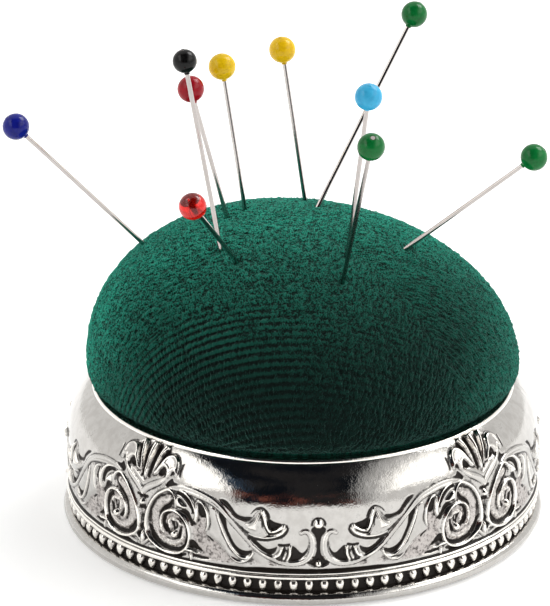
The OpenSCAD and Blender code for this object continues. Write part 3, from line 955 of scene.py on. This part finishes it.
def add_cushion(velvet, pins):
    """The cover: a shell of velvet with a crowned dome, gathered up underneath."""
    half = 200
    cols = 8 * half
    far, azimuth = disc_grid(half)
    gone, u = meridian()
    flat = far * gone[-1]
    dome = skin_point(np.interp(flat, gone, u), azimuth)
    coarse = 32
    spot = np.arange(2 * half + 1) / half * coarse
    push = sample(puff(coarse), *np.meshgrid(spot, spot, indexing="ij"))
    dome[..., 2] += (push[..., 2] - soften(push[..., 2], 30)) * 0.8
    dome[..., :2] += push[..., :2] * 0.25
    ring = circle_angles(cols)
    outer = turned(bag_profile()[1:], ring)
    inner = turned(bag_profile(VELVET_T)[::-1], ring)
    steps = np.linspace(-math.pi / 3, math.pi / 2, 18)[:-1]
    vault = np.stack([skin_point(np.full(cols, step), ring, VELVET_T) for step in steps])
    pleats(outer, ring)
    pleats(inner, ring)
    sheets = np.concatenate([outer, inner, vault])
    rim = grid_rim(half)
    first = far.size
    along = first + np.arange(cols)
    join = np.stack([rim, along, np.roll(along, -1), np.roll(rim, -1)], -1)
    apex = first + (len(sheets) - 1) * cols + np.arange(cols)
    faces = [grid_quads(half), join[:, ::-1], ring_quads(len(sheets), cols, first)[:, ::-1], apex[None, :]]
    points = np.concatenate([dome.reshape(-1, 3), sheets.reshape(-1, 3)])
    weave = polar(flat, azimuth, 0.0).reshape(-1, 3)
    values = {"weave": np.concatenate([weave, sheets.reshape(-1, 3)])}
    mesh = make_mesh("velvet_cushion", points, faces, values)
    raise_pile(mesh, far, weave, pins)
    cushion = add_piece("velvet_cushion", mesh, velvet, ("velvet_cover",))


def pleats(sheet, ring):
    """Gathers the velvet into radial folds towards the opening underneath."""
    r = np.hypot(sheet[..., 0], sheet[..., 1])
    near = smooth((BAG_R - 3 - r) / 12) * (sheet[..., 2] < BAG_Z + 3)
    folds = 0.5 + 0.5 * np.sin(40 * ring + 1.5 * np.sin(7 * ring))
    sheet[..., 2] += 0.5 * near * folds


def raise_pile(mesh, far, weave, pins):
    """Stands the pile up in tufts and rows, dents it where pins go in, and stores painted light and shade,
    by the way each point faces, as nap.
    """
    count, seen = len(mesh.vertices), far.size
    out = np.zeros(count * 3, np.float32)
    mesh.vertex_normals.foreach_get("vector", out)
    place = np.zeros(count * 3, np.float32)
    mesh.vertices.foreach_get("co", place)
    out, place = out.reshape(-1, 3), place.reshape(-1, 3) / MM
    tufts = np.random.default_rng(7)
    lumps = soften(tufts.standard_normal(far.shape), 14) * 5.0
    tuft = soften(tufts.standard_normal(far.shape), 0.6) * 0.16
    skin = out[:seen]
    painted_light_share = np.clip((skin @ PAINTED_LIGHT_WAY + 1) / 1.3, 0, 1) ** 3.0
    painted_shade_share = smooth((skin @ PAINTED_SHADE_WAY - 0.3) / 0.5)
    # painted sheen: the left and right sides are lighter
    side = smooth((np.abs(skin[:, 0]) - 0.55) / 0.45)
    # nap is painted light and shade: lit from behind and above, painted shade low in front, painted sheen
    # at the sides
    nap = np.zeros(count)
    nap[:seen] = (0.05 + 0.8 * painted_light_share) * (1 - 0.85 * painted_shade_share) + 0.02 * painted_shade_share + 0.32 * side
    x, y = weave[:, 0], weave[:, 1]
    wave = np.sin(y * 2 * math.pi / ROW + 0.5 * np.sin(x * 0.3))
    row = 0.09 * smooth((4 - x) / 26) * wave * (1 - nap[:seen])
    rise = np.zeros(count)
    rise[:seen] = (tuft + 0.1 * lumps).ravel() + row - 0.05
    tip = np.full(count, 0.5)
    tip[:seen] += np.clip(tuft.ravel() / 0.2, -0.5, 0.5)
    for key, value in (("nap", nap), ("tip", tip)):
        mesh.attributes.new(key, "FLOAT", "POINT").data.foreach_set("value", value.astype(np.float32))
    rise[:seen] *= smooth((1 - far.ravel()) / 0.02)
    on_dome = (place[:, 2] > BELT_Z) * (np.arange(count) < seen)
    for pin in pins.values():
        gap = np.linalg.norm(np.cross(place - pin["head"], pin["way"]), axis=1)
        above = (place - pin["head"]) @ pin["way"] > -40
        rise -= 0.55 * np.exp(-(gap / 0.75) ** 2) * above * on_dome
    place += out * rise[:, None]
    mesh.vertices.foreach_set("co", (place * MM).astype(np.float32).ravel())
    mesh.update()


def velvet_material():
    """Short pile over knitted rows, lit by painted light and darkened by painted shade, both stored in nap.
    """
    v = Surface("velvet", Roughness=0.85, Sheen_Weight=0.3, Sheen_Roughness=0.24, Specular_IOR_Level=0.1)
    v.set("Sheen Tint", (0.3, 0.85, 0.7, 1))
    weave = v.attribute("weave", "Vector")
    # nap carries the painted light and shade from raise_pile
    nap, tip = v.attribute("nap"), v.attribute("tip")
    x, y, _ = v.add("SeparateXYZ", {0: weave}).outputs
    tuft = v.noise(v.stretch(weave, (0.15, 0.32, 1)), 1.0, 2, 0.6)
    clumps = v.noise(weave, 1.1, 3, 0.6)
    patches = v.noise(weave, 6, 2, 0.5)
    bend = v.product(v.noise(weave, 9, 1), 1.5)
    row = v.maths("SINE", v.maths("MULTIPLY_ADD", y, 2 * math.pi / ROW, bend))
    # the rows show most where nap holds painted shade
    rows = v.product(row, v.span(nap, 0.4, 0.08, 0.0, 0.8), v.span(x, 8, -18, 0.2, 1.5),
                     v.span(patches, 0.35, 0.6, 0.45, 1.1))
    pile = rows
    for part in (v.span(tuft, 0.3, 0.7), v.sway(tip, 0.6), v.sway(clumps, 0.5)):
        pile = v.maths("ADD", pile, part)
    shade = v.span(pile, 0.24, 0.92)
    light = v.mix(patches, (0.024, 0.38, 0.262), (0.034, 0.45, 0.31))
    # the pile's tone times nap, the painted light and shade
    v.set("Base Color", v.mix(v.product(shade, nap), (0.0022, 0.008, 0.0068), light))
    v.bump(pile, 0.1)
    return v.material


# ------------------------------------------------------------------------------ what the cushion hides
def add_stuffing(fibre):
    """A lump of fibre that fills the cover and rests on the card."""
    cols, gap = 300, 0.35
    board_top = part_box("cushion_board")[1].z / MM
    inset = VELVET_T + gap
    azimuths = circle_angles(cols)
    bag = bag_profile(inset)
    bag = bag[(bag[:, 1] > board_top + 0.4) & (bag[:, 0] > NECK_R - inset - 0.1)]
    base = line((bag[-1, 0], board_top + 0.3), (2, board_top + 0.3), 24)
    steps = np.linspace(math.pi / 2, -math.pi / 2, 70)[1:-1]
    vault = np.stack([skin_point(np.full(cols, s), azimuths, inset) for s in steps])
    points = np.concatenate([vault, turned(np.concatenate([bag, base]), azimuths)])
    lumps = np.random.default_rng(17)
    field = soften(lumps.standard_normal(points.shape[:2]), 4) * 4
    field = np.roll(field, 3, 1) * 0.5 + field * 0.5
    blend = smooth(np.minimum(np.arange(cols), cols - 1 - np.arange(cols)) / 12)
    sink = np.clip(0.5 + field * blend, 0, 1.4) * 0.6
    middle = np.array([0, 0, SHOULDER_Z + 4])
    away = points - middle
    points -= away / np.linalg.norm(away, axis=-1, keepdims=True) * sink[..., None]
    rows = len(points)
    faces = [face[:, ::-1] for face in (ring_quads(rows, cols), *end_caps(rows, cols))]
    mesh = make_mesh("fibre_stuffing", points, faces)
    stuffing = add_piece("fibre_stuffing", mesh, fibre, ("stuffing",))


def add_thread(yarn):
    """The gathering thread: three plies laid round each other in a ring."""
    steps, sides, plies, twists = 480, 8, 3, 60
    low, high = (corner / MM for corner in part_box("gathering_thread"))
    thick = high.z - low.z
    ring_r, middle = high.x - thick / 2, (low.z + high.z) / 2
    along = circle_angles(steps)[:, None]
    side = circle_angles(sides)[None, :]
    ply_r = thick / 2 * 0.46
    points, quads = [], []
    for k in range(plies):
        lay = twists * along + 2 * math.pi * k / plies
        orbit = thick / 2 - ply_r
        r = ring_r + orbit * np.cos(lay) + ply_r * np.cos(side)
        z = middle + orbit * np.sin(lay) + ply_r * np.sin(side)
        points.append(polar(r, along, z).reshape(-1, 3))
        quads.append(ring_quads(steps, sides, k * steps * sides, closed=True)[:, ::-1])
    mesh = make_mesh("gathering_cord", np.concatenate(points), [np.concatenate(quads)])
    add_piece("gathering_cord", mesh, yarn, ("gathering_thread",))


def add_felt(felt):
    """The felt under the base, with a soft cut edge."""
    cols = 360
    low, high = (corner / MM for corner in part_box("felt_pad"))
    edge = 0.35
    profile = np.concatenate([
        line((0.5, low.z), (high.x - edge, low.z), 60),
        arc(high.x - edge, low.z + edge, edge, -80, 0, 4),
        arc(high.x - edge, high.z - edge, edge, 0, 80, 4),
        line((high.x - edge, high.z), (0.5, high.z), 20),
    ])
    points = turned(profile, circle_angles(cols))
    nap = np.random.default_rng(23)
    inward = soften(np.abs(nap.standard_normal(points.shape[:2])), 0.9) * 0.06
    middle = (low.z + high.z) / 2
    points[..., 2] += np.where(profile[:, 1][:, None] < middle, inward, -inward)
    rows = len(profile)
    mesh = make_mesh("felt_disc", points, [ring_quads(rows, cols), *end_caps(rows, cols)])
    add_piece("felt_disc", mesh, felt, ("felt_pad",))


def fibre_material():
    """Loose off-white wadding in wisps."""
    s = Surface("fibre_fill", Roughness=0.95, Sheen_Weight=0.4)
    wisps = s.noise(s.stretch(s.here, (2.2, 0.5, 0.5)), 1.0, 5, 0.7, 1.2)
    clumps = s.noise(s.here, 5, 3)
    s.set("Base Color", s.mix(s.span(wisps, 0.3, 0.7), (0.62, 0.60, 0.54), (0.86, 0.84, 0.79)))
    s.bump(s.maths("ADD", wisps, clumps), 0.4)
    return s.material


def felt_material():
    """Dark grey felt with short tangled hairs."""
    s = Surface("felt", Roughness=0.96, Sheen_Weight=0.35)
    hairs = s.noise(s.here, 0.35, 4, 0.75, 1.5)
    cloud = s.noise(s.here, 6, 3)
    tone = s.maths("MULTIPLY_ADD", hairs, 0.7, s.product(cloud, 0.3))
    s.set("Base Color", s.mix(s.span(tone, 0.35, 0.65), (0.018, 0.02, 0.022), (0.05, 0.052, 0.056)))
    s.bump(hairs, 0.15)
    return s.material


def card_material():
    """Brown greyboard with a long grain and dark flecks."""
    s = Surface("card", Roughness=0.88)
    grain = s.noise(s.stretch(s.here, (3, 0.4, 1)), 1.0, 4, 0.7)
    flecks = s.span(s.noise(s.here, 0.5, 2), 0.66, 0.74)
    tone = s.mix(grain, (0.42, 0.31, 0.19), (0.56, 0.44, 0.30))
    s.set("Base Color", s.mix(flecks, tone, (0.25, 0.17, 0.10)))
    s.bump(grain, 0.06)
    return s.material


def tinplate_material():
    """Rolled tinplate, streaked along the rolling."""
    s = Surface("tinplate", Metallic=1.0)
    rolled = s.noise(s.stretch(s.here, (12, 0.12, 1)), 1.0, 3, 0.6)
    spangle = s.noise(s.here, 3, 2)
    s.set("Base Color", s.mix(spangle, (0.52, 0.52, 0.53), (0.66, 0.66, 0.66)))
    s.set("Roughness", s.span(rolled, 0.3, 0.7, 0.26, 0.42))
    s.bump(rolled, 0.01)
    return s.material


def thread_material():
    """Dark green spun thread."""
    s = Surface("thread", Roughness=0.7, Sheen_Weight=0.5)
    fibres = s.noise(s.here, 0.12, 3, 0.7)
    s.set("Base Color", s.mix(fibres, (0.003, 0.04, 0.028), (0.012, 0.11, 0.075)))
    s.bump(fibres, 0.04)
    return s.material


# ------------------------------------------------------------------------------ pins
# Each glass's colour where it is deep and where it is pale
HEAD_COLOURS = {
    "blue": ((0.004, 0.006, 0.15), (0.007, 0.012, 0.22)),
    "black": ((0.002, 0.002, 0.0022), (0.006, 0.006, 0.006)),
    "crimson": ((0.24, 0.002, 0.008), (0.34, 0.004, 0.014)),
    "lemon": ((0.66, 0.42, 0.004), (0.76, 0.50, 0.008)),
    "ruby": ((0.62, 0.004, 0.002), (0.78, 0.012, 0.006)),
    "amber": ((0.66, 0.40, 0.004), (0.76, 0.48, 0.008)),
    "emerald": ((0.002, 0.105, 0.020), (0.004, 0.15, 0.032)),
    "turquoise": ((0.035, 0.34, 0.60), (0.055, 0.43, 0.70)),
    "jade": ((0.002, 0.105, 0.020), (0.004, 0.15, 0.032)),
    "green": ((0.002, 0.11, 0.022), (0.004, 0.16, 0.034)),
}
CLEAR_HEADS = ("ruby",)
OPEN_HEADS = ("jade",)                  # the end of the wire shows on top
# wires without the painted dark reflection
PALE_WIRES = ("blue", "black", "crimson", "turquoise", "jade", "green")
DARK_REFLECTION_WAY = (0.26, -0.92, 0.28)        # the front; a wire facing this way gets a painted reflection of the dark room, a dark line


def read_pins():
    """Each pin's way out, the centre and size of its head, in millimetres, from the frame."""
    pins = {}
    for joint in frame["joints"]:
        name = joint["child"].removesuffix("_pin")
        way = np.array(joint["axis"], float)
        way /= np.linalg.norm(way)
        wire = np.array([v.co for v in frame["nodes"][name + "_pin_shaft"].data.vertices]) / MM
        ball = np.array([v.co for v in frame["nodes"][name + "_pin_head"].data.vertices]) / MM
        along = wire @ way
        axis_point = wire[along > along.max() - 0.01].mean(0)
        radius = np.linalg.norm(np.cross(ball - axis_point, way), axis=1).max()
        top = axis_point + way * (along.max() - axis_point @ way)
        pins[name] = {"way": way, "head": top - way * radius, "radius": radius,
                      "wire": np.linalg.norm(np.cross(wire - axis_point, way), axis=1).max()}
    return pins


def add_head(name, pin, glass):
    """A ball of glass melted onto the wire, drawn down a little where it grips it."""
    cols = 56
    radius, wire = pin["radius"], pin["wire"]
    collar, run, flare = wire + 0.07, 0.2, 0.4
    foot = -math.sqrt(radius ** 2 - (wire + flare) ** 2)
    t = np.linspace(0, 1, 9)[:-1]
    neck = np.stack([collar + (wire + flare - collar) * t ** 3,
                     -(radius + run) + (foot + radius + run) * t ** 0.8], -1)
    start = math.degrees(math.atan2(foot, wire + flare))
    ball = arc(0, 0, radius, start, 80, 30)
    if name in OPEN_HEADS:
        crown = np.array([(wire + 0.06, radius * 0.975), (wire - 0.03, radius * 0.95)])
    else:
        crown = np.array([(0.3, radius + 0.02), (0.15, radius + 0.035), (0.03, radius + 0.04)])
    profile = np.concatenate([[(wire - 0.03, -(radius + run) + 0.02)], neck, ball, crown])
    angles = circle_angles(cols)
    shape = np.random.default_rng(len(name) * 31 + ord(name[0]))
    squash = 1 + 0.012 * np.sin(2 * angles + shape.uniform(0, 6))
    r, up = profile[:, 0][:, None], profile[:, 1][:, None]
    r = r * np.where(r > wire + 0.3, squash, 1.0)
    side = np.cross(pin["way"], (0, 1, 0))
    side /= np.linalg.norm(side)
    other = np.cross(pin["way"], side)
    outward = np.cos(angles)[:, None] * side + np.sin(angles)[:, None] * other
    points = pin["head"] + r[..., None] * outward + up[..., None] * pin["way"]
    rows = len(profile)
    mesh = make_mesh(name + "_glass_head", points, [ring_quads(rows, cols), *end_caps(rows, cols)])
    add_piece(name + "_glass_head", mesh, glass, (name + "_pin_head",), name + "_pin")


def glass_material(name):
    """Coloured glass, full of pigment, with faint flow marks; ruby is clear."""
    deep, pale = HEAD_COLOURS[name]
    s = Surface(name + "_glass", Specular_IOR_Level=0.22)
    flow = s.noise(s.here, 1.8, 3, 0.5, 0.8)
    pits = s.noise(s.here, 0.3, 2)
    s.set("Base Color", s.mix(s.span(flow, 0.3, 0.7), deep, pale))
    s.set("Roughness", s.span(pits, 0.3, 0.75, 0.1, 0.2))
    if name in CLEAR_HEADS:
        s.set("Roughness", s.span(pits, 0.3, 0.75, 0.04, 0.08))
        s.set("Transmission Weight", 0.85)
        s.set("IOR", 1.5)
    s.bump(flow, 0.006 if name in CLEAR_HEADS else 0.02)
    return s.material


def wire_material(name, dark, light, dark_reflection=False):
    """Plated wire with fine draw marks. If asked, it has a painted reflection of the dark room in front: a
    dark line along the side that faces the front.
    """
    s = Surface(name, Metallic=1.0)
    marks = s.noise(s.here, 0.25, 3, 0.7)
    dull = s.noise(s.here, 3, 2)
    tone = s.mix(dull, dark, light)
    if dark_reflection:
        # painted reflection of the dark room: a dark line where the wire faces the front
        normal = s.add("TexCoord").outputs["Normal"]
        facing = s.add("VectorMath", {0: normal, 1: DARK_REFLECTION_WAY}, operation="DOT_PRODUCT")
        tone = s.mix(s.span(facing.outputs["Value"], 0.88, 0.96), tone, (0.06, 0.055, 0.055))
    s.set("Base Color", tone)
    s.set("Roughness", s.span(marks, 0.3, 0.7, 0.08, 0.16))
    s.bump(marks, 0.002)
    return s.material


def dress(node, material):
    """Gives a CAD node a finished material."""
    mesh = frame["nodes"][node].data
    mesh.materials.clear()
    mesh.materials.append(material)


def main():
    bpy.context.scene.view_settings.view_transform = "Standard"
    add_camera()
    light_the_stage()
    add_floor()
    pins = read_pins()
    silver = silver_material()
    add_wall(silver)
    add_foot(silver)
    add_beads(silver)
    add_cushion(velvet_material(), pins)
    add_stuffing(fibre_material())
    add_thread(thread_material())
    add_felt(felt_material())
    dress("cushion_board", card_material())
    dress("base_plate", tinplate_material())
    pale = wire_material("nickel_wire", (0.40, 0.37, 0.355), (0.52, 0.485, 0.47))
    grey = wire_material("steel_wire", (0.46, 0.43, 0.42), (0.60, 0.57, 0.55), dark_reflection=True)
    for name, pin in pins.items():
        dress(name + "_pin_shaft", pale if name in PALE_WIRES else grey)
        add_head(name, pin, glass_material(name))


main()
